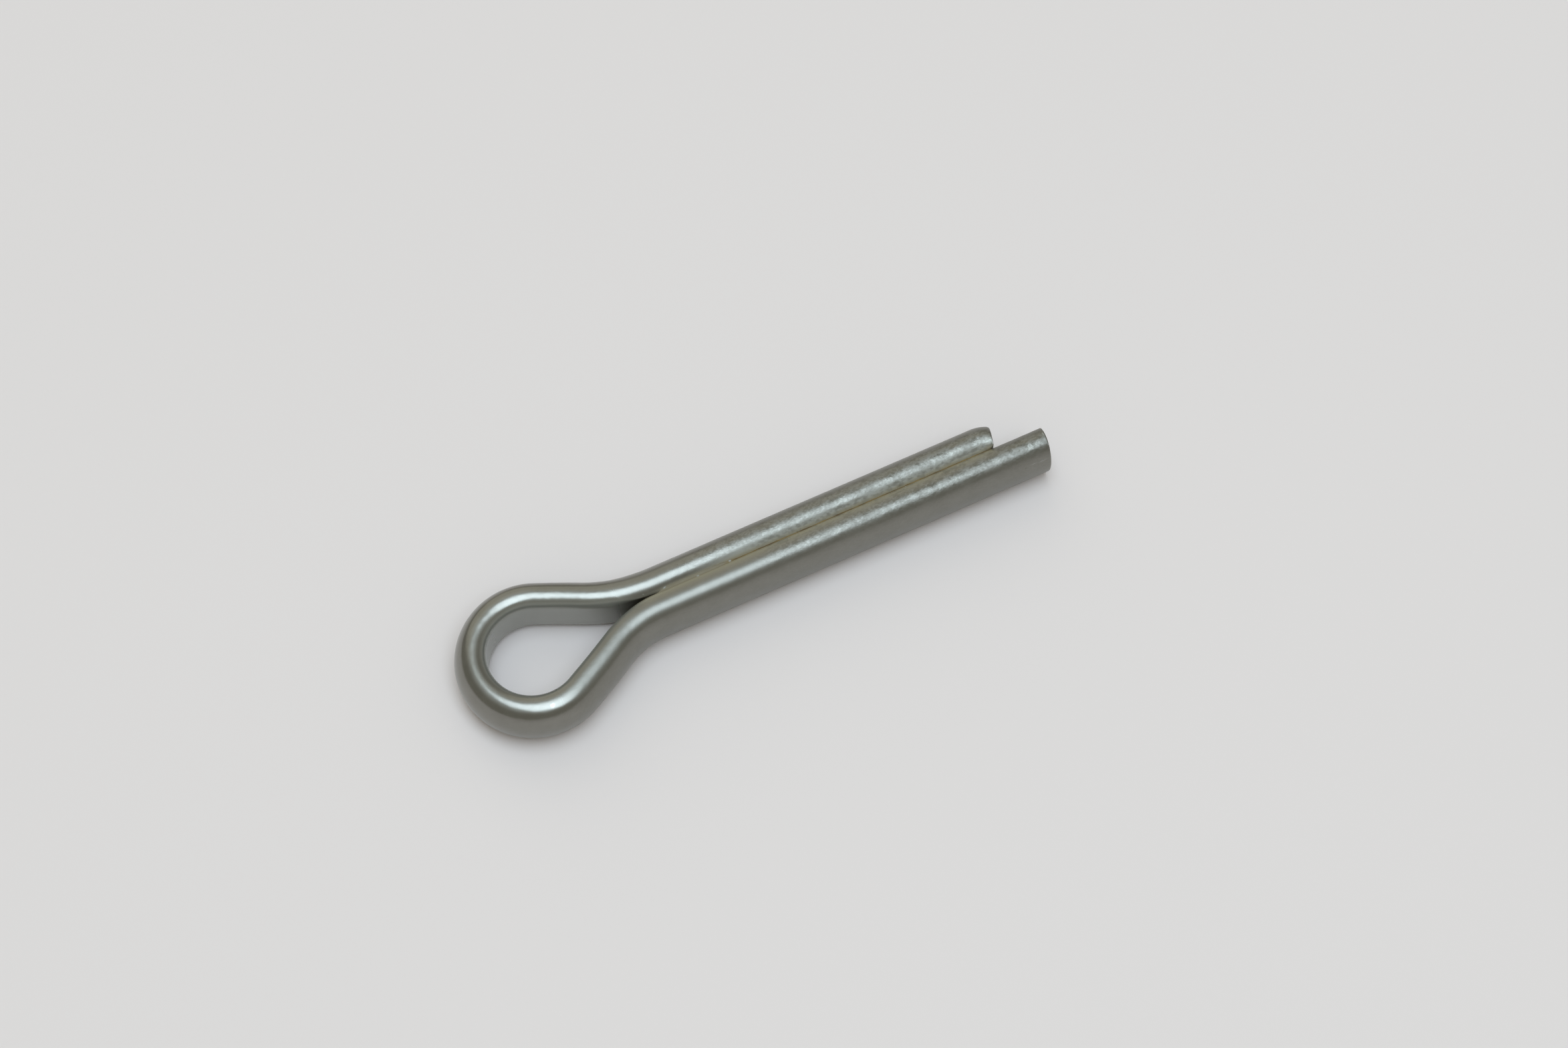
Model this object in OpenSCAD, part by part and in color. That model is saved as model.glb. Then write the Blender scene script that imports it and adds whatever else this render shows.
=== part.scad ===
// Cotter pin: one length of rounded half-round wire, folded into an eye with its flat face
// inwards, so that its two prongs lie flat to flat and make one nearly round shank.
// X runs along the shank from the neck to the tips, Z = 0 is the middle plane of the wire,
// and Y = 0 is the seam between the prongs. The origin is where both prongs have run straight.

/* [Wire] */
// Thickness of the wire, from the flat face to the top of the round back
wire_t = 1.5; // [1.4:0.05:1.7]
// Height of the wire, over its two rounded shoulders
wire_h = 2.75; // [2.4:0.05:3.1]
// Height of the flat face, from one corner to the other
flat_h = 2.1; // [1.8:0.05:2.35]
// Radius of the two shoulders, between the round back and the flat face
shoulder_r = 0.7; // [0.5:0.05:0.8]

/* [Eye] */
// Radius of the inside of the eye at its crown
eye_r = 2.01; // [1.7:0.01:2.6]
// How far the middle of the crown lies off the seam, towards the long prong
eye_offset = 0.17; // [0:0.01:0.4]
// Angle that each flank still turns through between the crown and the neck
flank_turn = 3; // [2:0.5:8]

/* [Short prong] */
// Length of the straight part of the shank, from the origin to the short prong's cut
short_prong = 16.15; // [10:0.05:40]
// Slope of the flank that leads to the short prong
short_slope = 26.3; // [20:0.1:30]
// Radius of the flat face round the short prong's neck
short_neck_r = 8; // [5:0.1:10]
// Slant of the short prong's cut, which leaves its back longer than its flat
short_slant = 15; // [0:1:20]
// Radius on which the shear dragged the back down before the short prong's cut
drag_r = 1.75; // [1.7:0.05:2.4]
// Angle to the shank that the dragged-down back has reached at the cut
drag_turn = 28; // [15:1:40]

/* [Long prong] */
// How far the long prong stands out past the short one
prong_step = 2.35; // [1:0.1:6]
// Slope of the flank that leads to the long prong
long_slope = 30.1; // [24:0.1:36]
// Radius of the flat face round the long prong's neck
long_neck_r = 5.5; // [4:0.1:9]
// Slant of the long prong's cut, which leaves its flat longer than its back
long_slant = 6; // [0:1:15]

/* [Fit] */
// Gap between the flat faces of the two prongs
seam_gap = 0.02; // [0.02:0.01:0.3]

/* [Hidden] */
$fn = 96;

// Lengths are kept to a whole number of these steps where they set a circle's size.
step = 0.0001;
function snapped(v) = round(v / step) * step;
function unit(a) = [cos(a), sin(a)];

// The section lies flat face on x = 0. Each shoulder is a circle about [shoulder_x, +-shoulder_z] that
// reaches the flat face at its corner, and the back is a circle about [back_x, 0] that runs into
// both shoulders with no edge between them.
shoulder_z = wire_h / 2 - shoulder_r;
// Depth of the shoulders' centres below the top of the back
shoulder_drop = wire_t - sqrt(pow(shoulder_r, 2) - pow(flat_h / 2 - shoulder_z, 2));
back_r = snapped((pow(shoulder_drop, 2) + pow(shoulder_z, 2) - pow(shoulder_r, 2))
                 / (2 * (shoulder_drop - shoulder_r)));
back_x = wire_t - back_r;
shoulder_x = back_x + sqrt(pow(back_r - shoulder_r, 2) - pow(shoulder_z, 2));
back_half_angle = atan2(shoulder_z, shoulder_x - back_x);

long_prong = short_prong + prong_step;

// Each prong is [slope, neck radius, crown's offset towards this prong].
short = [short_slope, short_neck_r, -eye_offset];
long = [long_slope, long_neck_r, eye_offset];

// Directions in which the flank faces where it leaves the crown and where it enters the neck
function crown_end(p) = 90 - p[0] + flank_turn;
function neck_end(p) = 90 - p[0];
// The flank's radius is the one that brings the neck down onto the prong's own straight line.
function flank_r(p) =
    (p[2] + eye_r * sin(crown_end(p)) - p[1] * (1 - sin(neck_end(p))) - seam_gap / 2)
    / (sin(crown_end(p)) - sin(neck_end(p)));
// Centres of the arcs, measured from the foot of the crown's middle on the seam
function flank_centre(p) = [0, p[2]] - (flank_r(p) - eye_r) * unit(crown_end(p));
function neck_centre(p) = flank_centre(p) + (flank_r(p) + p[1]) * unit(neck_end(p));

crown_x = -max(neck_centre(short)[0], neck_centre(long)[0]);
cutter = 4 * (wire_t + wire_h);
function straight_start(p) = crown_x + neck_centre(p)[0];

// The dragged-down back turns about drag_centre and starts straight above it. Its far corner
// lies on the short prong's cut.
drag_corner_y = seam_gap / 2 + wire_t - drag_r * (1 - cos(drag_turn));
drag_corner_x = short_prong + drag_corner_y * tan(short_slant);
drag_run = snapped(drag_corner_x - drag_r * sin(drag_turn) - straight_start(short));
drag_centre = [straight_start(short) + drag_run, seam_gap / 2 + wire_t - drag_r];

// Moves by v in a coarse and a fine step, so that neighbouring arcs meet without a gap.
module shift(v) {
    coarse = [for (c = v) round(c * 1000) / 1000];
    translate(coarse) translate(v - coarse) children();
}

module wire_section() {
    intersection() {
        union() {
            intersection() {
                translate([back_x, 0]) circle(r = back_r);
                polygon([
                    [shoulder_x, -shoulder_z],
                    [back_x, 0] + 2 * back_r * unit(-back_half_angle),
                    [back_x + 2 * back_r, 0],
                    [back_x, 0] + 2 * back_r * unit(back_half_angle),
                    [shoulder_x, shoulder_z]
                ]);
            }
            for (side = [-1, 1]) shift([shoulder_x, side * shoulder_z]) circle(r = shoulder_r);
            translate([0, -shoulder_z]) square([shoulder_x, 2 * shoulder_z]);
        }
        translate([0, -wire_h]) square(2 * wire_h);
    }
}

// Carries the section round an arc whose flat face has radius r, its back away from the centre.
module outward_bend(centre, r, from, turn) {
    shift([centre[0], centre[1], 0])
        rotate_extrude(start = from, angle = turn)
            shift([r, 0]) wire_section();
}

// The same with the back towards the centre.
module inward_bend(centre, r, from, turn) {
    shift([centre[0], centre[1], 0])
        rotate_extrude(start = from, angle = turn)
            shift([r, 0]) mirror([1, 0]) wire_section();
}

module straight(from, to) {
    shift([from, seam_gap / 2, 0])
        rotate([90, 0, 90]) linear_extrude(to - from) wire_section();
}

// Flank, neck and straight part of one prong, on the +Y side, up to x = to
module prong(p, to) {
    foot = [crown_x, 0];
    outward_bend(foot + flank_centre(p), flank_r(p), neck_end(p), flank_turn);
    inward_bend(foot + neck_centre(p), p[1], 180 + neck_end(p), p[0]);
    straight(straight_start(p), to);
}

module crown() {
    outward_bend([crown_x, -eye_offset], eye_r, crown_end(short),
                 360 - crown_end(short) - crown_end(long));
}

// Everything past a cut that crosses the seam at x = at and leans by slant
module past_cut(at, slant) {
    translate([at, 0, 0]) rotate([0, 0, -slant])
        translate([0, -cutter, -cutter]) cube([cutter, 2 * cutter, 2 * cutter]);
}

// The short prong's end, its back turned down on an arc and its flat face left straight
module dragged_end() {
    difference() {
        shift([drag_centre[0], drag_centre[1], 0]) rotate_extrude(angle = 90) {
            shift([drag_r - wire_t, 0]) wire_section();
            translate([0, -flat_h / 2]) square([drag_r - wire_t, flat_h]);
        }
        translate([0, seam_gap / 2 - cutter, -cutter]) cube([2 * short_prong, cutter, 2 * cutter]);
    }
}

module cotter_pin() color([0.6, 0.61, 0.6]) {
    crown();
    difference() {
        union() {
            prong(short, drag_centre[0]);
            dragged_end();
        }
        past_cut(short_prong, short_slant);
    }
    mirror([0, 1, 0]) difference() {
        prong(long, long_prong + wire_t);
        past_cut(long_prong, -long_slant);
    }
}

cotter_pin();
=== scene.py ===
"""Cotter pin: one rounded half-round wire, folded into an eye and two prongs, on a pale table.

Lengths are in millimetres until a mesh is made. X runs along the shank to the tips, Y = 0 is the
seam between the prongs, and Z = 0 is the middle plane of the wire. A range is a pair, low and high.
"""

import math

import bpy
import numpy as np
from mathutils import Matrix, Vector


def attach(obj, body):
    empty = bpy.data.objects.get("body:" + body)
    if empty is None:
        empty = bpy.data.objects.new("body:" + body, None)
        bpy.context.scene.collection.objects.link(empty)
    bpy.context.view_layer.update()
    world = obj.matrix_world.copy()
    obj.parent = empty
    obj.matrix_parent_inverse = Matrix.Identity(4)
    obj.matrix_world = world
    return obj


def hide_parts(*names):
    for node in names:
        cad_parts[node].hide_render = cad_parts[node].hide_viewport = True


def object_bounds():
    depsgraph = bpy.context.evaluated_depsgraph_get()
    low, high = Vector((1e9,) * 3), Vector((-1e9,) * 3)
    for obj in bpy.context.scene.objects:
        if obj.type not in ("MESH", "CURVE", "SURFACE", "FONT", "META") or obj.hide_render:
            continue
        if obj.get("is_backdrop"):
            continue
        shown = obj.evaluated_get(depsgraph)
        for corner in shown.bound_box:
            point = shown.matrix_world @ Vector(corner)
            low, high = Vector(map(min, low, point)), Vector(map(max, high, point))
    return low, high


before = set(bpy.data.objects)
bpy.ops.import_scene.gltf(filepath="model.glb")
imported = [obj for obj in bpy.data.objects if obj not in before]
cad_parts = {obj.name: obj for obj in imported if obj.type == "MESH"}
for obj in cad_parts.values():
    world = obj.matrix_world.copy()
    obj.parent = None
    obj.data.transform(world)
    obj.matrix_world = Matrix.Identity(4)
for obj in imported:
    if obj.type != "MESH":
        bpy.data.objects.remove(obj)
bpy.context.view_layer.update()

MM = 0.001

# ---- the wire, with the same values as the solid ----
WIRE_THICK = 1.5
WIRE_HIGH = 2.75
FLAT_HIGH = 2.1
SHOULDER_R = 0.7
SEAM_GAP = 0.02
SHOULDER_HEIGHT = WIRE_HIGH / 2 - SHOULDER_R
SHOULDER_DROP = WIRE_THICK - math.sqrt(SHOULDER_R ** 2 - (FLAT_HIGH / 2 - SHOULDER_HEIGHT) ** 2)
BACK_R = round((SHOULDER_DROP ** 2 + SHOULDER_HEIGHT ** 2 - SHOULDER_R ** 2)
               / (2 * (SHOULDER_DROP - SHOULDER_R)), 4)
BACK_DEPTH = WIRE_THICK - BACK_R
SHOULDER_DEPTH = BACK_DEPTH + math.sqrt((BACK_R - SHOULDER_R) ** 2 - SHOULDER_HEIGHT ** 2)
BACK_HALF_ANGLE = math.atan2(SHOULDER_HEIGHT, SHOULDER_DEPTH - BACK_DEPTH)

# ---- the fold, with the same values as the solid, and the worn edge of each cut ----
EYE_R = 2.01
EYE_OFFSET = 0.17
FLANK_TURN = math.radians(3)
SHORT = {"side": 1, "slope": math.radians(26.3), "neck_r": 8.0, "off": -EYE_OFFSET,
         "end": 16.15, "slant": math.radians(15), "edge_r": 0.05}
LONG = {"side": -1, "slope": math.radians(30.1), "neck_r": 5.5, "off": EYE_OFFSET,
        "end": 18.5, "slant": math.radians(-6), "edge_r": 0.065}
DRAG_R = 1.75
DRAG_TURN = math.radians(28)
DRAG_Y = SEAM_GAP / 2 + WIRE_THICK - DRAG_R
DRAG_X = (SHORT["end"] + (DRAG_Y + DRAG_R * math.cos(DRAG_TURN)) * math.tan(SHORT["slant"])
          - DRAG_R * math.sin(DRAG_TURN))

# ---- how finely the surface is laid out ----
ALONG = 0.067
STRETCH_COLUMNS = (9, 7, 20, 16)
LEAD = 0.9
LEAD_ROWS = 16
CUT_EDGE_ROWS = 6
CUT_RINGS = 14
CUT_ROWS = CUT_EDGE_ROWS + CUT_RINGS - 1
RELIEF_FADE_ROWS = 4
CUT_COLOUR_ROWS = (CUT_RINGS + 1, CUT_RINGS + 4)

# ---- the section round the eye, which is rounder and a little flattened ----
PRONG_CORNER_R = 0.03
EYE_CORNER_R = 0.55
EYE_FADES_X = (-2.4, -0.6)
FAR_FLANK_Y = (-2.0, 2.0)
EYE_FLATTENED = 0.045
EYE_FLAT_REACH = 0.42
EYE_LEAN_FAR = -0.033
EYE_LEAN_NEAR = 0.036
EYE_THINNED = 0.055

# ---- relief: how high it is, its shortest and longest waves, and the seed of its noise ----
EYE_PEEL = (0.0006, 0.3, 1.2, 3)
PRONG_HAMMER = (0.0009, 0.2, 0.5, 5)
PRONG_WAVE = (0.0030, 0.7, 2.2, 8)

# ---- where wear, dullness, film and dust lie, the dust also painting light: ranges of x, of
# the distance off the seam, of the height as a share of the wire's, or of the walk from the
# middle of the flat face ----
WEAR_SHORT_X = (-0.5, 3.5)
WEAR_LONG_X = (3.0, 6.0)
WEAR_CREST_HEIGHT = (0.86, 0.985)
WEAR_BELOW_CREST = 0.2
WEAR_GROWS_X = (5.0, 13.0)
WEAR_AT_NECK = 0.7
DULL_SHORT_X = {(-3.5, -0.5): 0.35, (0.5, 6.0): 0.65}
DULL_LONG_X = {(-6.6, -4.6): 0.75, (3.8, 6.0): 0.25}
SEAM_SHORT_X = (-0.6, 0.5)
SEAM_LONG_X = (-2.0, -0.5)
SEAM_ENDS_X = (15.9, 16.3)
FILM_SHORT_OFF = (0.03, 0.17)
FILM_LONG_OFF = (0.10, 0.50)
# Pale dust on the far prong's slope towards the seam, which also paints the light that slope
# reflects; on the eye's inner face and rim the pale colour is painted light only.
DUST_AND_LIGHT_SHORT_OFF = (0.10, 0.50)
DUST_AND_LIGHT_GROWS_X = (0.8, 4.0)
DUST_AND_LIGHT_SHARE = 0.75
EYE_PAINTED_LIGHT_WALK = (1.15, 1.50)
EYE_PAINTED_LIGHT_SHARE = 0.45

# ---- the dried grease in the seam: tilt is that of the shoulders where its edges meet them ----
GREASE_STEP = 0.05
GREASE_START = -0.75
GREASE_SUNK_TO = 0.2
GREASE_END = 16.1
GREASE_BROWN_X = (2.6, 3.9)
GREASE_NECK_TILT = math.radians(47)
GREASE_TILT = math.radians(55.2)
GREASE_SWELL = math.radians(0.45)
GREASE_SWELL_LIMITS = (-1.5, 2.0)
GREASE_SWELL_WAVE = 0.4
GREASE_SEED = 12
GREASE_COLUMNS = 11
GREASE_SINK = 0.25
GREASE_TUCK = 0.003
GREASE_FOOT_HEIGHT = 0.65
GREASE_FOOT_SHARE = 0.9
GREASE_BELOW_CORNER = 0.03
GREASE_PALE_SHARE = 0.5

# ---- colours, as linear red, green, blue and alpha ----
STEEL_LIGHT = (0.298, 0.294, 0.268, 1)
STEEL_DARK = (0.218, 0.214, 0.190, 1)
# Bare metal of the bright marks, which also makes the painted glint on the eye.
BARE_METAL_AND_GLINT = (0.42, 0.44, 0.43, 1)
SHEARED = (0.34, 0.34, 0.33, 1)
FILM = (0.33, 0.29, 0.20, 1)
# Pale dust, which also paints light on the far prong's slope towards the seam and inside the eye.
DUST_AND_LIGHT = (0.45, 0.455, 0.41, 1)
STAIN = (0.085, 0.075, 0.05, 1)
GREASE_BROWN = (0.235, 0.165, 0.06, 1)
GREASE_DARK = (0.12, 0.078, 0.026, 1)
# Pale grease at the neck, its colour darkened with the valley's painted shade.
GREASE_PALE_AND_SHADE = (0.235, 0.205, 0.14, 1)
TABLE_COLOUR = (0.90, 0.827, 0.804, 1)

# ---- noises: waves a metre (a millimetre for the drawn lines), detail and roughness ----
CLOUD = (1100.0, 3.0, 0.55)
PATCH = (2900.0, 2.0, 0.5)
GRAIN = (7500.0, 2.0, 0.55)
SPECK = (14000.0, 1.0, 0.5)
DRAWN_LINES = (7.0, 3.0, 0.6)
GRAIN_STRETCH = (0.6, 1.0, 1.0)
DRAWN_STRETCH = (0.10, 1.0, 1.0)

# ---- the finish: the range that is read, then what its two ends become ----
MOTTLE_BANDS = (0.25, 0.40, 0.35)
MOTTLE_SHADE = (0.40, 0.60, -0.5, 0.5)
MOTTLE_BY_WEAR = (0.0, 1.0, 0.12, 1.2)
CLOUD_SHADE = (0.3, 0.7, 0.4, 0.6)
PRONG_DULLNESS = (0.75, 1.0)
DUST_AND_LIGHT_RUBBED_OFF = (0.35, 0.62, 0.55, 0.0)
FILM_BANDS = (0.5, 0.5)
FILM_RUBBED_OFF = (0.38, 0.58, 0.40, 0.0)
STAIN_STRENGTH = (0.35, 0.60, 0.30, 0.60)
SHEARED_SHARE = 0.7
GREASE_SHADE = (0.35, 0.65)
ROUGH_BY_DULLNESS = (0.0, 1.0, 0.26, 0.40)
RUBBED_BROADLY = (0.35, 0.65, -0.05, 0.05)
RUBBED_FINELY = (0.35, 0.65, -0.08, 0.08)
ROUGHER_CUT = 0.08
ROUGHER_GREASE = 0.3
BEATEN_BANDS = (0.8, 1.4, 1.0)
BEATEN_BY_WEAR = (0.0, 1.0, 0.10, 1.0)
DRAWN_HEIGHT = 0.8e-6
BEATEN_HEIGHT = 3.2e-6
TABLE_ROUGHNESS = 0.85
TABLE_SPECULAR = 0.2

# ---- single marks: middle and half lengths ----
MARK_NOISE = {"Scale": 9000.0, "Detail": 1.0}
MARK_SHIFT = 0.06 * MM
MARK_FADE = (0.15, 1.0)
DARK_MARKS = [
    ((9.20, -1.15, 1.11), (0.07, 0.06, 0.06)),
    ((16.00, -1.35, 0.75), (0.05, 0.05, 0.05)),
    ((11.60, 0.09, 1.14), (0.24, 0.10, 0.12)),
    ((6.55, 0.03, 1.06), (0.06, 0.05, 0.05)),
    ((17.10, -1.36, 0.72), (0.10, 0.05, 0.03)),
]
# Bright bare-metal grains in the seam, two scratches and a rubbed rim on the long cut, the rim
# partly a painted edge highlight. The first mark, on the eye's near side, is a painted glint.
BRIGHT_MARKS_AND_GLINT = [
    ((-6.39, -2.95, 1.33), (0.15, 0.13, 0.15)),
    ((-0.77, 0.15, 1.17), (0.05, 0.04, 0.05)),
    ((0.20, 0.08, 1.11), (0.12, 0.06, 0.07)),
    ((1.74, -0.06, 1.10), (0.11, 0.07, 0.07)),
    ((3.30, 0.02, 1.09), (0.08, 0.06, 0.07)),
    ((4.62, -0.04, 1.09), (0.06, 0.05, 0.05)),
    ((11.78, -0.05, 1.10), (0.06, 0.05, 0.05)),
    ((15.66, 0.58, 1.37), (0.06, 0.05, 0.05)),
    ((15.75, 0.20, 1.24), (0.06, 0.05, 0.05)),
    ((17.50, -1.34, 0.77), (0.26, 0.06, 0.014)),
    ((17.93, -1.36, 0.73), (0.30, 0.06, 0.018)),
    ((18.36, -0.45, 1.35), (0.06, 0.16, 0.08)),
    ((18.37, -0.95, 1.27), (0.05, 0.14, 0.08)),
]

# ---- room and camera, in metres and degrees ----
MIDDLE = (0.0045, 0.0, 0.0)
ROOM_COLOUR = (1.0, 0.985, 0.87, 1)
ROOM_LIGHT = 0.350
LAMPS = {
    "key_lamp": {"towards": (0.02, -0.12, 0.99), "distance": 0.40, "across": (0.21, 0.38),
                 "light": 0.47, "colour": (0.81, 0.97, 1.12)},
    "key_halo": {"towards": (0.0, -0.05, 1.0), "distance": 0.38, "across": (0.50, 0.62),
                 "light": 0.10, "colour": (0.90, 0.98, 1.00)},
    "window": {"towards": (0.0, 0.8, 0.6), "distance": 0.60, "across": (0.60, 0.60),
               "light": 0.10, "colour": (1.0, 0.985, 0.87)},
}
TABLE_HALF_SIDE = 1.2
CAMERA_AIM = (0.006653, 0.001591, -0.001375)
CAMERA_DISTANCE = 0.14796
CAMERA_DOWN = 66.0
CAMERA_TURN = -25.23
CAMERA_LENS = 76.18
CAMERA_SENSOR = 36.0
CAMERA_SEES_FROM = 0.005
CAMERA_SEES_TO = 10.0


def unit(angle):
    """The direction at an angle from +X, as (cos, sin)."""
    return np.stack([np.cos(angle), np.sin(angle)], -1)


def eased(low, high, value):
    """0 below low, 1 above high, and between them t * t * (3 - 2 t)."""
    t = np.clip((value - low) / (high - low), 0, 1)
    return t * t * (3 - 2 * t)


def prong_arcs(prong):
    """Centres and radii of a prong's flank and neck, as in the solid.

    The flank leaves the crown at 90 degrees less the slope plus the flank's own turn. Its radius
    is the one that brings the neck down onto the prong's straight line, half a gap off the seam.
    """
    crown_end = math.pi / 2 - prong["slope"] + FLANK_TURN
    neck_end = math.pi / 2 - prong["slope"]
    flank_r = (prong["off"] + EYE_R * math.sin(crown_end)
               - prong["neck_r"] * (1 - math.sin(neck_end)) - SEAM_GAP / 2)
    flank_r /= math.sin(crown_end) - math.sin(neck_end)
    flank_centre = np.array([0, prong["off"]]) - (flank_r - EYE_R) * unit(crown_end)
    neck_centre = flank_centre + (flank_r + prong["neck_r"]) * unit(neck_end)
    return {"crown_end": crown_end, "neck_end": neck_end, "flank_r": flank_r,
            "flank_centre": flank_centre, "neck_centre": neck_centre}


SHORT_ARCS = prong_arcs(SHORT)
LONG_ARCS = prong_arcs(LONG)
CROWN_X = -max(SHORT_ARCS["neck_centre"][0], LONG_ARCS["neck_centre"][0])


def outline(corner_r):
    """The wire's section, walked from the middle of its flat face up round the back and home.

    Each half has four stretches with fixed columns: the flat, an arc of corner_r that eases the
    flat face's corner, the shoulder's arc and half of the back's arc, each tangent to the next.
    The corner's circle touches the flat and, from inside, the shoulder's circle. Takes one
    corner_r a row and returns depth, height, outward direction and walked length by row and column.
    """
    r = np.asarray(corner_r, float)[:, None]
    corner_height = SHOULDER_HEIGHT + np.sqrt((SHOULDER_R - r) ** 2 - (SHOULDER_DEPTH - r) ** 2)
    corner_end = np.arctan2(corner_height - SHOULDER_HEIGHT, r - SHOULDER_DEPTH)
    flat, corner, shoulder, back = [np.arange(n) / n for n in STRETCH_COLUMNS]
    # For each: share walked, angle faced, radius, its centre's depth and height, and length.
    # The last one is the single column on top of the back.
    stretches = [
        (flat, math.pi, 0, 0, corner_height * flat, corner_height),
        (corner, math.pi + corner * (corner_end - math.pi), r, r, corner_height,
         r * (math.pi - corner_end)),
        (shoulder, corner_end + shoulder * (BACK_HALF_ANGLE - corner_end), SHOULDER_R,
         SHOULDER_DEPTH, SHOULDER_HEIGHT, SHOULDER_R * (corner_end - BACK_HALF_ANGLE)),
        (back, BACK_HALF_ANGLE * (1 - back), BACK_R, BACK_DEPTH, 0, BACK_R * BACK_HALF_ANGLE),
        (np.zeros(1), 0, 0, WIRE_THICK, 0, 0),
    ]
    columns = []
    walked = 0 * r
    for share, angle, radius, middle_depth, middle_height, length in stretches:
        facing = unit(angle + 0 * r * share)
        columns.append(np.stack(np.broadcast_arrays(
            middle_depth + radius * facing[..., 0], middle_height + radius * facing[..., 1],
            facing[..., 0], facing[..., 1], walked + length * share), -1))
        walked = walked + length
    half = np.concatenate(columns, 1)
    home = half[:, -2:0:-1] * [1, -1, 1, -1, -1]
    home[..., -1] += 2 * walked
    both = np.concatenate([half, home], 1)
    return both[..., 0], both[..., 1], both[..., 2:4], both[..., 4]


SECTION_DEPTH, SECTION_HEIGHT, _, SECTION_WALK = [rows[0] for rows in outline([PRONG_CORNER_R])]
GIRTH = 2 * SECTION_WALK[sum(STRETCH_COLUMNS)]


def bend(centre, radius, start, end, back, mirrored=False):
    """Points centre + radius * (cos a, sin a) at even steps from start to end.

    The back faces away from the centre where back is 1 and towards it where back is -1.
    """
    steps = max(2, round(abs(end - start) * radius / ALONG))
    direction = unit(np.linspace(start, end, steps, endpoint=False))
    flip = [1, -1] if mirrored else [1, 1]
    return (centre + radius * direction) * flip, back * direction * flip


def straight(start, end, side):
    """Points at even steps along one prong, half a gap off the seam, without the last one."""
    steps = max(2, round(abs(end - start) / ALONG))
    x = np.linspace(start, end, steps, endpoint=False)
    points = np.stack([x, np.full(steps, side * SEAM_GAP / 2)], -1)
    return points, np.tile([0.0, side], (steps, 1))


def fold_line():
    """The flat face's line, from near the short prong's tip round the eye to near the long one's.

    Straight, neck, flank, crown, flank, neck, straight, each tangent to the next. Returns the
    points and the directions in which the back faces.
    """
    foot = np.array([CROWN_X, 0.0])
    a, b = SHORT_ARCS, LONG_ARCS
    short_neck, long_neck = foot + a["neck_centre"], foot + b["neck_centre"]
    parts = [
        straight(SHORT["end"] - LEAD, short_neck[0], 1),
        bend(short_neck, SHORT["neck_r"], 1.5 * math.pi, math.pi + a["neck_end"], -1),
        bend(foot + a["flank_centre"], a["flank_r"], a["neck_end"], a["crown_end"], 1),
        bend(np.array([CROWN_X, -EYE_OFFSET]), EYE_R, a["crown_end"],
             2 * math.pi - b["crown_end"], 1),
        bend(foot + b["flank_centre"], b["flank_r"], b["crown_end"], b["neck_end"], 1, True),
        bend(long_neck, LONG["neck_r"], math.pi + b["neck_end"], 1.5 * math.pi, -1, True),
        straight(long_neck[0], LONG["end"] - LEAD + ALONG, -1),
    ]
    return [np.concatenate(rows) for rows in zip(*parts)]


def off_seam(prong, depth, x):
    """How far a point of the straight prong lies off the seam, by its depth and its x.

    It is half the gap plus the depth. Past DRAG_X the short prong's section turns about
    (DRAG_X, DRAG_Y): off = DRAG_Y + the root of (DRAG_R - thickness + depth) squared less
    (x - DRAG_X) squared, and never less than half the gap.
    """
    off = SEAM_GAP / 2 + depth
    if prong is SHORT:
        reach = (DRAG_R - WIRE_THICK + depth) ** 2 - np.maximum(x - DRAG_X, 0) ** 2
        off = np.maximum(SEAM_GAP / 2, DRAG_Y + np.sqrt(np.maximum(reach, 0)))
    return off


def cut_outline(prong, depth):
    """Where the section's points meet the leaning cut, x = end + off * tan(slant).

    On the short prong the dragged circle's and the cut's equations give a quadratic in off.
    """
    lean = math.tan(prong["slant"])
    off = SEAM_GAP / 2 + depth
    if prong is SHORT:
        ahead = prong["end"] - DRAG_X
        half_b = (ahead * lean - DRAG_Y) / (1 + lean ** 2)
        last = (ahead ** 2 + DRAG_Y ** 2 - (DRAG_R - WIRE_THICK + depth) ** 2) / (1 + lean ** 2)
        off = -half_b + np.sqrt(np.maximum(half_b ** 2 - last, 0))
        off = np.maximum(SEAM_GAP / 2, off)
    return prong["end"] + off * lean, off


def prong_end(prong):
    """Rows from the last straight row out to the cut, round its edge and in to its middle.

    The lead rows stretch to the cut's outline less the edge radius r. The edge rows turn a quarter
    circle: towards the middle by r (1 - cos t), short of the cut by r (1 - sin t). The rings
    then shrink evenly towards the middle, in the plane of the cut.
    """
    depth, height = SECTION_DEPTH, SECTION_HEIGHT
    lean, r = math.tan(prong["slant"]), prong["edge_r"]
    cut_x, cut_off = cut_outline(prong, depth)
    lead_x = prong["end"] - LEAD
    rows = []
    for share in np.arange(1, LEAD_ROWS + 1) / LEAD_ROWS:
        x = lead_x + share * (cut_x - r - lead_x)
        rows.append((x, off_seam(prong, depth, x), height))
    middle = (SEAM_GAP + WIRE_THICK) / 2
    apart = np.hypot(cut_off - middle, height)
    for turn in np.arange(1, CUT_EDGE_ROWS + 1) / CUT_EDGE_ROWS * math.pi / 2:
        kept = 1 - r * (1 - math.cos(turn)) / apart
        off = middle + kept * (cut_off - middle)
        rows.append((prong["end"] + off * lean - r * (1 - math.sin(turn)), off, kept * height))
    kept = 1 - r / apart
    for share in np.linspace(1, 0, CUT_RINGS + 1)[1:-1]:
        off = middle + share * kept * (cut_off - middle)
        rows.append((prong["end"] + off * lean, off, share * kept * height))
    return [np.stack([x, prong["side"] * off, h], -1) for x, off, h in rows]


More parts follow.
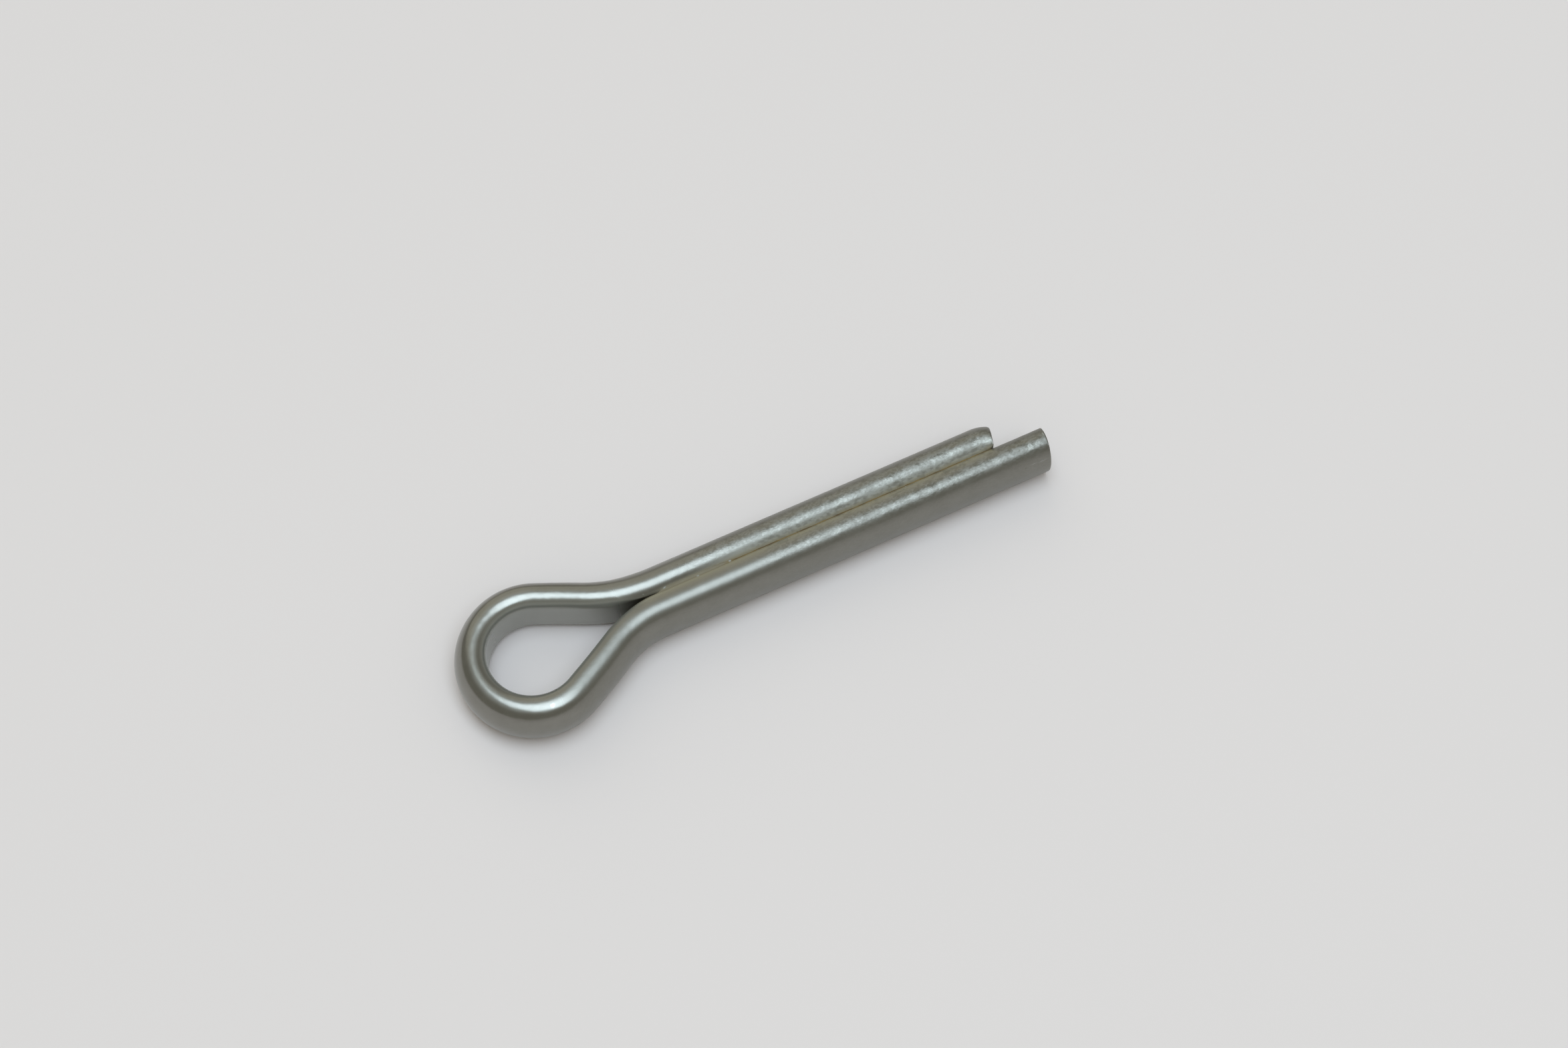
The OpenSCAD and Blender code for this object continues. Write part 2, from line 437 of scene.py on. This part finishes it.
def ripple(rows, spread, shortest, longest, seed):
    """Even random relief of a given spread, by row and column.

    White noise on an even grid, of which only the waves between the shortest and the longest
    length are kept, read off at the columns' own places.
    """
    even = round(GIRTH / ALONG)
    noise = np.random.default_rng(seed).standard_normal((rows, even))
    waves = np.hypot(np.fft.fftfreq(rows, ALONG)[:, None],
                     np.fft.fftfreq(even, GIRTH / even)[None, :])
    kept = np.exp(-(waves * shortest) ** 4) * (1 - np.exp(-(waves * longest) ** 4))
    relief = np.fft.ifft2(np.fft.fft2(noise) * kept).real
    place = SECTION_WALK / GIRTH * even
    low = np.floor(place).astype(int)
    share = place - low
    relief = (1 - share) * relief[:, low % even] + share * relief[:, (low + 1) % even]
    return spread * relief / relief.std()


def section_along(line):
    """The section at each point of the fold line, and how far it is the eye's own section.

    Round the eye the corners are rounder and the top is pressed by EYE_FLATTENED times
    e ** -(q / EYE_FLAT_REACH) ** 2, where q is the depth past the shoulder's middle. It leans by
    EYE_LEAN_NEAR to EYE_LEAN_FAR times q times the height, and the far flank is thinner.
    """
    softness = 1 - eased(*EYE_FADES_X, line[:, 0])
    depth, height, facing, walked = outline(
        PRONG_CORNER_R + softness * (EYE_CORNER_R - PRONG_CORNER_R))
    past = depth - SHOULDER_DEPTH
    pressed = EYE_FLATTENED * np.exp(-(past / EYE_FLAT_REACH) ** 2) * np.sign(height)
    far = eased(*FAR_FLANK_Y, line[:, 1])
    lean = EYE_LEAN_NEAR + far * (EYE_LEAN_FAR - EYE_LEAN_NEAR)
    height = height - softness[:, None] * (pressed + lean[:, None] * past * height)
    depth = depth * (1 - EYE_THINNED * softness * far)[:, None]
    return depth, height, facing, walked, softness


def wear_on(skin):
    """How far each point is beaten and rubbed: most on the crest, and more towards the tips."""
    x, y, z = skin[..., 0], skin[..., 1], skin[..., 2]
    wear = np.where(y > 0, eased(*WEAR_SHORT_X, x), eased(*WEAR_LONG_X, x))
    on_crest = eased(*WEAR_CREST_HEIGHT, np.abs(z) / (WIRE_HIGH / 2))
    wear = wear * (WEAR_BELOW_CREST + (1 - WEAR_BELOW_CREST) * on_crest)
    return wear * (WEAR_AT_NECK + (1 - WEAR_AT_NECK) * eased(*WEAR_GROWS_X, x))


def dullness_on(skin):
    """How far each point has lost the eye's gloss, in two steps along each prong."""
    short, long = [sum(rise * eased(*span, skin[..., 0]) for span, rise in steps.items())
                   for steps in (DULL_SHORT_X, DULL_LONG_X)]
    return np.where(skin[..., 1] > 0, short, long)


def folded_wire():
    """The wire as one closed skin over (way along it, walk round its outline), and its finish.

    Point = line(way) + depth(walk) * back direction(way), at height(walk), moved along its own
    outward direction by the relief. The relief stops short of the cuts, so that their edges stay
    clean. Each end closes in rings, which build_pin joins to a middle point.
    """
    line, back = fold_line()
    depth, height, facing, walked, softness = section_along(line)
    tube = np.concatenate([line[:, None] + depth[..., None] * back[:, None],
                           height[..., None]], -1)
    out = np.concatenate([facing[..., :1] * back[:, None], facing[..., 1:]], -1)
    skin = np.concatenate([prong_end(SHORT)[::-1], tube, prong_end(LONG)])
    ends = LEAD_ROWS + CUT_ROWS
    out = np.pad(out, ((ends, ends), (0, 0), (0, 0)), "edge")
    walked = np.pad(walked, ((ends, ends), (0, 0)), "edge")
    softness = np.pad(softness, ends)
    row = np.arange(len(skin))
    from_end = np.minimum(row, row[::-1])

    wear = wear_on(skin)
    relief = (ripple(len(skin), *EYE_PEEL) + wear * ripple(len(skin), *PRONG_HAMMER)
              + wear * ripple(len(skin), *PRONG_WAVE))
    tame = eased(CUT_ROWS, CUT_ROWS + RELIEF_FADE_ROWS, from_end)
    skin = skin + (tame[:, None] * relief)[..., None] * out

    girth = 2 * walked[:, sum(STRETCH_COLUMNS), None]
    # The eye's inner face and rim, which get the pale colour as painted light.
    on_flat = 1 - eased(*EYE_PAINTED_LIGHT_WALK, np.minimum(walked, girth - walked))
    way = np.empty(skin.shape)
    way[..., 0] = ((row - ends) * ALONG)[:, None]
    way[..., 1:] = GIRTH / (2 * math.pi) * unit(walked / GIRTH * 2 * math.pi)
    finish = {"wear": wear, "dull": dullness_on(skin), "inner": softness[:, None] * on_flat,
              "cut": (1 - eased(*CUT_COLOUR_ROWS, from_end))[:, None] + 0 * wear}
    return skin, way, finish


def prong_gap(prong, arcs, x):
    """How far a prong's flat face lies off the seam: half the gap, and the neck's radius less the
    root of (radius squared less run squared) where the face has run back by run into its neck."""
    radius = prong["neck_r"]
    run = np.maximum(CROWN_X + arcs["neck_centre"][0] - x, 0)
    return SEAM_GAP / 2 + radius - np.sqrt(radius ** 2 - run ** 2)


def seam_grease():
    """The dried grease in the foot of the seam, as points by row along it and column round it.

    Across the seam its top is a hollow arc that meets both shoulders at the same tilt, so each
    half width is the prong's gap plus SHOULDER_DEPTH less SHOULDER_R sin(tilt), and the arc's
    radius is the half width over sin(tilt). The tilt swells and shrinks a little along the seam.
    The last four columns go down between the flat faces.
    """
    x = np.arange(GREASE_START, GREASE_END, GREASE_STEP)
    noise = np.random.default_rng(GREASE_SEED).standard_normal(len(x))
    waves = np.fft.rfftfreq(len(x), GREASE_STEP)
    kept = np.exp(-(waves * GREASE_SWELL_WAVE) ** 2)
    swell = np.fft.irfft(np.fft.rfft(noise) * kept, len(x))
    swell = np.clip(swell / swell.std(), *GREASE_SWELL_LIMITS)
    at_neck = 1 - eased(*GREASE_BROWN_X, x)
    tilt = GREASE_TILT - GREASE_SWELL * swell + at_neck * (GREASE_NECK_TILT - GREASE_TILT)
    sunk = GREASE_SINK * (1 - eased(GREASE_START, GREASE_SUNK_TO, x))
    short_y, long_y = prong_gap(SHORT, SHORT_ARCS, x), prong_gap(LONG, LONG_ARCS, x)

    middle = ((short_y - long_y) / 2)[:, None]
    half = ((short_y + long_y) / 2 + SHOULDER_DEPTH - SHOULDER_R * np.sin(tilt))[:, None]
    edge = SHOULDER_HEIGHT + SHOULDER_R * np.cos(tilt) - sunk - GREASE_TUCK
    arc_r = half / np.sin(tilt)[:, None]
    across = half * np.linspace(1, -1, GREASE_COLUMNS)
    top_z = edge[:, None] + arc_r * np.cos(tilt)[:, None] - np.sqrt(arc_r ** 2 - across ** 2)
    corner = SHOULDER_HEIGHT + math.sqrt(SHOULDER_R ** 2 - SHOULDER_DEPTH ** 2)
    low = corner - GREASE_BELOW_CORNER - sunk
    foot = np.full(len(x), GREASE_FOOT_HEIGHT)
    sides_y = GREASE_FOOT_SHARE * np.stack([-long_y, -long_y, short_y, short_y], 1)
    y = np.concatenate([middle + across, sides_y], 1)
    z = np.concatenate([top_z, np.stack([low, foot, foot, low], 1)], 1)
    return np.stack([x[:, None] + 0 * y, y, z], -1)


def tube_faces(rows, columns, first):
    """A tube's point numbers by row and column, the same one column on, and its square faces."""
    here = first + np.arange(rows * columns).reshape(rows, columns)
    over = np.roll(here, -1, 1)
    squares = np.stack([here[:-1], over[:-1], over[1:], here[1:]], -1).reshape(-1, 4)
    return here, over, squares.tolist()


def fan_faces(tip, start, end):
    """Faces from a middle point to each step of a ring."""
    return np.stack([np.full(len(start), tip), start, end], -1).tolist()


def store(mesh, name, kind, field, values):
    """Puts one value for each point into the mesh, under a name that the finish reads."""
    layer = mesh.attributes.new(name, kind, "POINT")
    layer.data.foreach_set(field, np.ascontiguousarray(values, np.float32).ravel())


def pin_mesh(points, skin_shape, bead_shape):
    """The points joined by faces: the wire's tube, a fan at each end, and the grease's own tube."""
    here, over, faces = tube_faces(*skin_shape, 0)
    tip = here.size
    faces += fan_faces(tip, over[0], here[0]) + fan_faces(tip + 1, here[-1], over[-1])
    smooth = [True] * len(faces)
    here, over, bead_faces = tube_faces(*bead_shape, tip + 2)
    faces += bead_faces + [here[0, ::-1].tolist(), here[-1].tolist()]
    top = np.arange(bead_shape[1]) < GREASE_COLUMNS - 1
    smooth += np.tile(top, bead_shape[0] - 1).tolist() + [False, False]
    mesh = bpy.data.meshes.new("bent_wire")
    mesh.from_pydata(points * MM, [], faces)
    mesh.update()
    mesh.polygons.foreach_set("use_smooth", smooth)
    return mesh


def seam_dirt_and_light(points):
    """The film and the dust (partly painted light) beside the seam, by how far off and along a
    point lies.
    """
    x, y = points[:, 0], points[:, 1]
    on_short = y > 0
    in_seam = np.where(on_short, eased(*SEAM_SHORT_X, x), eased(*SEAM_LONG_X, x))
    in_seam = in_seam * (1 - eased(*SEAM_ENDS_X, x))
    film = np.where(on_short, 1 - eased(*FILM_SHORT_OFF, y), 1 - eased(*FILM_LONG_OFF, -y))
    # Pale dust on the far prong beside the seam, which also paints the light that its slope
    # reflects.
    dust_and_light = np.where(on_short, DUST_AND_LIGHT_SHARE * (1 - eased(*DUST_AND_LIGHT_SHORT_OFF, y)), 0)
    return film * in_seam, dust_and_light * eased(*DUST_AND_LIGHT_GROWS_X, x) * in_seam


def build_pin():
    """The wire's skin, a middle point on each cut, and the grease's own closed skin, as one mesh.

    It keeps what its finish reads. way: a place along the wire and round it, as on a circle of the
    same girth, so that no seam shows. wear: how far a point is beaten and rubbed. dull: how far it
    has lost the eye's gloss. film and dust: how much of them lies there; the pale dust also paints
    light on the far prong's slope towards the seam and on the eye's inner face and rim. cut: 1 on
    the sheared ends. grease: GREASE_PALE_SHARE where the grease is pale, its colour darkened with
    painted shade, and 1 where it is brown.
    """
    skin, way, finish = folded_wire()
    bead = seam_grease()
    bead_x = bead[..., 0].ravel()
    middle = (SEAM_GAP + WIRE_THICK) / 2
    tips = [[skin[0, :, 0].mean(), middle, 0], [skin[-1, :, 0].mean(), -middle, 0]]
    others = np.concatenate([tips, bead.reshape(-1, 3)])
    points = np.concatenate([skin.reshape(-1, 3), others])
    mesh = pin_mesh(points, skin.shape[:2], bead.shape[:2])

    def whole(on_skin, on_tips, on_bead):
        """One value for each point of the mesh."""
        return np.concatenate([on_skin.ravel(), [on_tips, on_tips], on_bead + 0 * bead_x])

    film, dust_and_light = seam_dirt_and_light(points)
    brown = GREASE_PALE_SHARE + (1 - GREASE_PALE_SHARE) * eased(*GREASE_BROWN_X, bead_x)
    shares = {
        "wear": whole(finish["wear"], 1, 1),
        "dull": whole(finish["dull"], 1, 1),
        "film": film,
        # The pale dust beside the seam, partly painted light, and painted light on the eye's inner
        # face and rim.
        "dust_and_light": np.maximum(dust_and_light, EYE_PAINTED_LIGHT_SHARE * whole(finish["inner"], 0, 0)),
        "cut": whole(finish["cut"], 1, 0),
        "grease": whole(0 * finish["wear"], 0, brown),
    }
    way = np.concatenate([way.reshape(-1, 3), others * [1, 0, 0]])
    store(mesh, "way", "FLOAT_VECTOR", "vector", way)
    for name, values in shares.items():
        store(mesh, name, "FLOAT", "value", values)

    pin = bpy.data.objects.new("bent_wire", mesh)
    bpy.context.scene.collection.objects.link(pin)
    return pin


class Finish:
    """A material whose nodes are added one by one, from the pattern to the shader."""

    def __init__(self, name):
        self.material = bpy.data.materials.new(name)
        self.material.use_nodes = True
        self.tree = self.material.node_tree
        self.tree.nodes.clear()

    def put(self, socket, value):
        """Links a socket to another node's output, or sets it to a plain value."""
        if isinstance(value, bpy.types.NodeSocket):
            self.tree.links.new(value, socket)
        else:
            socket.default_value = value

    def add(self, kind, inputs, output=0, **settings):
        """Adds a node, sets or links its inputs, and returns one of its outputs."""
        node = self.tree.nodes.new(kind)
        for name, value in settings.items():
            setattr(node, name, value)
        for name, value in inputs.items():
            self.put(node.inputs[name], value)
        return None if output is None else node.outputs[output]

    def stored(self, name, output="Fac"):
        return self.add("ShaderNodeAttribute", {}, output, attribute_name=name)

    def noise(self, place, scale, detail, rough):
        return self.add("ShaderNodeTexNoise", {
            "Vector": place, "Scale": scale, "Detail": detail, "Roughness": rough}, "Fac")

    def stretched(self, place, scale):
        return self.add("ShaderNodeMapping", {"Vector": place, "Scale": scale})

    def spread(self, value, low, high, to_low=0.0, to_high=1.0):
        """Carries low..high onto to_low..to_high, and no further."""
        return self.add("ShaderNodeMapRange", {
            "Value": value, "From Min": low, "From Max": high,
            "To Min": to_low, "To Max": to_high}, "Result", interpolation_type="SMOOTHSTEP")

    def maths(self, operation, a, b):
        return self.add("ShaderNodeMath", {0: a, 1: b}, operation=operation)

    def vectors(self, operation, a, b):
        return self.add("ShaderNodeVectorMath", {0: a, 1: b}, "Vector", operation=operation)

    def product(self, *values):
        result = values[0]
        for value in values[1:]:
            result = self.maths("MULTIPLY", result, value)
        return result

    def total(self, *values):
        result = values[0]
        for value in values[1:]:
            result = self.maths("ADD", result, value)
        return result

    def bands(self, shares, *noises):
        """The sum of noises, each times its share."""
        return self.total(*[self.product(noise, share) for noise, share in zip(noises, shares)])

    def rest(self, share):
        """What a share leaves of 1."""
        return self.maths("SUBTRACT", 1.0, share)

    def marks(self, place, marks):
        """A share that is 1 in the middle of each oval mark and 0 at its half lengths. A noise
        shifts the places that it is measured from, so that its edge is uneven."""
        shift = self.add("ShaderNodeTexNoise", {"Vector": place, **MARK_NOISE}, "Color")
        shift = self.vectors("SUBTRACT", shift, (0.5, 0.5, 0.5))
        shift = self.vectors("MULTIPLY", shift, (MARK_SHIFT, MARK_SHIFT, MARK_SHIFT))
        place = self.vectors("ADD", place, shift)
        share = 0.0
        for middle, half in marks:
            apart = self.vectors("SUBTRACT", place, [v * MM for v in middle])
            apart = self.vectors("DIVIDE", apart, [v * MM for v in half])
            length = self.add("ShaderNodeVectorMath", {0: apart}, "Value", operation="LENGTH")
            share = self.maths("MAXIMUM", share, self.spread(length, *MARK_FADE, 1.0, 0.0))
        return share

    def blend(self, share, a, b):
        """Colour a turned into colour b by a share."""
        node = self.tree.nodes.new("ShaderNodeMix")
        node.data_type = "RGBA"
        for socket, value in ((node.inputs[0], share), (node.inputs[6], a), (node.inputs[7], b)):
            self.put(socket, value)
        return node.outputs[2]

    def raised(self, height, distance, below=None):
        """A normal tilted by a height, on top of the normal below it."""
        inputs = {"Height": height, "Distance": distance, "Strength": 1.0}
        if below is not None:
            inputs["Normal"] = below
        return self.add("ShaderNodeBump", inputs)

    def finish(self, inputs):
        shader = self.add("ShaderNodeBsdfPrincipled", inputs, "BSDF")
        self.add("ShaderNodeOutputMaterial", {"Surface": shader}, None)
        return self.material


def satin_steel():
    """Plain steel wire: satin round the eye, beaten and speckled along the prongs.

    Over the mottled steel lie dust (partly painted light), film, dark marks, the sheared ends,
    grease (its pale part darkened with painted shade) and bright marks (one a painted glint), in
    that order. What is covered has lost its metal look by the share that covers it.
    """
    f = Finish("satin_steel")
    place = f.add("ShaderNodeTexCoord", {}, "Object")
    wear, dull, cut = f.stored("wear"), f.stored("dull"), f.stored("cut")
    film, dust_and_light, grease = f.stored("film"), f.stored("dust_and_light"), f.stored("grease")

    along = f.stretched(place, GRAIN_STRETCH)
    cloud = f.noise(place, *CLOUD)
    patch = f.noise(along, *PATCH)
    grain = f.noise(along, *GRAIN)
    speck = f.noise(along, *SPECK)
    drawn = f.noise(f.stretched(f.stored("way", "Vector"), DRAWN_STRETCH), *DRAWN_LINES)

    mottle = f.spread(f.bands(MOTTLE_BANDS, patch, grain, speck), *MOTTLE_SHADE)
    mottle = f.product(mottle, f.spread(wear, *MOTTLE_BY_WEAR))
    steel = f.blend(f.total(mottle, f.spread(cloud, *CLOUD_SHADE)), STEEL_DARK, STEEL_LIGHT)
    on_prong = f.spread(dull, *PRONG_DULLNESS)
    # Pale dust, partly painted light, rubbed off in grains along the prongs.
    dust_and_light_off = f.product(on_prong, f.spread(grain, *DUST_AND_LIGHT_RUBBED_OFF))
    dust_and_light = f.product(dust_and_light, f.rest(dust_and_light_off))
    steel = f.blend(dust_and_light, steel, DUST_AND_LIGHT)
    film_off = f.spread(f.bands(FILM_BANDS, patch, grain), *FILM_RUBBED_OFF)
    film = f.product(film, f.rest(f.product(on_prong, film_off)))
    steel = f.blend(film, steel, FILM)
    dark = f.product(f.marks(place, DARK_MARKS), f.spread(grain, *STAIN_STRENGTH))
    steel = f.blend(dark, steel, STAIN)
    steel = f.blend(f.product(cut, SHEARED_SHARE), steel, SHEARED)
    # Brown grease, and pale grease at the neck darkened with painted shade.
    brown = f.blend(f.spread(cloud, *GREASE_SHADE), GREASE_DARK, GREASE_BROWN)
    brown = f.blend(f.spread(grease, GREASE_PALE_SHARE, 1.0), GREASE_PALE_AND_SHADE, brown)
    grease = f.spread(grease, 0.0, GREASE_PALE_SHARE)
    steel = f.blend(grease, steel, brown)
    # Bright bare-metal marks, and a painted glint on the eye's near side.
    steel = f.blend(f.marks(place, BRIGHT_MARKS_AND_GLINT), steel, BARE_METAL_AND_GLINT)

    rubbed = f.total(f.spread(patch, *RUBBED_BROADLY), f.spread(cloud, *RUBBED_BROADLY),
                     f.spread(grain, *RUBBED_FINELY))
    rough = f.total(f.spread(dull, *ROUGH_BY_DULLNESS), f.product(wear, rubbed),
                    f.product(cut, ROUGHER_CUT), f.product(grease, ROUGHER_GREASE))
    beaten = f.product(f.bands(BEATEN_BANDS, patch, grain, speck),
                       f.spread(wear, *BEATEN_BY_WEAR))
    normal = f.raised(beaten, BEATEN_HEIGHT, f.raised(drawn, DRAWN_HEIGHT))
    bare = f.product(f.rest(film), f.rest(dark), f.rest(grease), f.rest(dust_and_light))
    return f.finish({"Base Color": steel, "Metallic": bare, "Roughness": rough,
                     "Normal": normal})


def pale_table():
    f = Finish("pale_table")
    return f.finish({"Base Color": TABLE_COLOUR, "Roughness": TABLE_ROUGHNESS,
                     "Specular IOR Level": TABLE_SPECULAR})


def lay_table(height):
    """A flat square under the pin, at the height that the pin rests on."""
    half = TABLE_HALF_SIDE
    corners = [(-half, -half, height), (half, -half, height),
               (half, half, height), (-half, half, height)]
    mesh = bpy.data.meshes.new("table")
    mesh.from_pydata(corners, [], [(0, 1, 2, 3)])
    table = bpy.data.objects.new("table", mesh)
    table.data.materials.append(pale_table())
    bpy.context.scene.collection.objects.link(table)
    table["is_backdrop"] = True


def hang_lamp(name, lamp):
    """An oval soft lamp in a direction from the pin, facing it.

    Its power is light * pi squared * distance squared, so that a white matt surface that faces it
    square on looks as bright as light.
    """
    bulb = bpy.data.lights.new(name, "AREA")
    bulb.shape = "ELLIPSE"
    bulb.size, bulb.size_y = lamp["across"]
    bulb.energy = lamp["light"] * math.pi ** 2 * lamp["distance"] ** 2
    bulb.color = lamp["colour"]
    holder = bpy.data.objects.new(name, bulb)
    aim = Vector(lamp["towards"]).normalized()
    holder.location = Vector(MIDDLE) + aim * lamp["distance"]
    holder.rotation_mode = "QUATERNION"
    holder.rotation_quaternion = aim.to_track_quat("Z", "Y")
    bpy.context.scene.collection.objects.link(holder)


def light_room():
    """An even pale room round the lamps."""
    world = bpy.data.worlds.new("room")
    world.use_nodes = True
    air = world.node_tree.nodes["Background"]
    air.inputs["Color"].default_value = ROOM_COLOUR
    air.inputs["Strength"].default_value = ROOM_LIGHT
    bpy.context.scene.world = world
    for name, lamp in LAMPS.items():
        hang_lamp(name, lamp)


def place_camera():
    """Looks down at the table from CAMERA_DISTANCE, turned by CAMERA_TURN off the square view."""
    lens = bpy.data.cameras.new("camera")
    lens.sensor_width = CAMERA_SENSOR
    lens.lens = CAMERA_LENS
    lens.clip_start, lens.clip_end = CAMERA_SEES_FROM, CAMERA_SEES_TO
    camera = bpy.data.objects.new("camera", lens)
    down, turn = math.radians(CAMERA_DOWN), math.radians(CAMERA_TURN)
    back = Vector((math.sin(turn) * math.cos(down), -math.cos(turn) * math.cos(down),
                   math.sin(down)))
    camera.location = Vector(CAMERA_AIM) + back * CAMERA_DISTANCE
    camera.rotation_euler = (math.pi / 2 - down, 0, turn)
    bpy.context.scene.collection.objects.link(camera)
    bpy.context.scene.camera = camera


pin = build_pin()
pin.data.materials.append(satin_steel())
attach(pin, "root")
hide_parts("cotter_pin")

lay_table(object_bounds()[0].z)
light_room()
place_camera()
bpy.context.scene.view_settings.view_transform = "Standard"
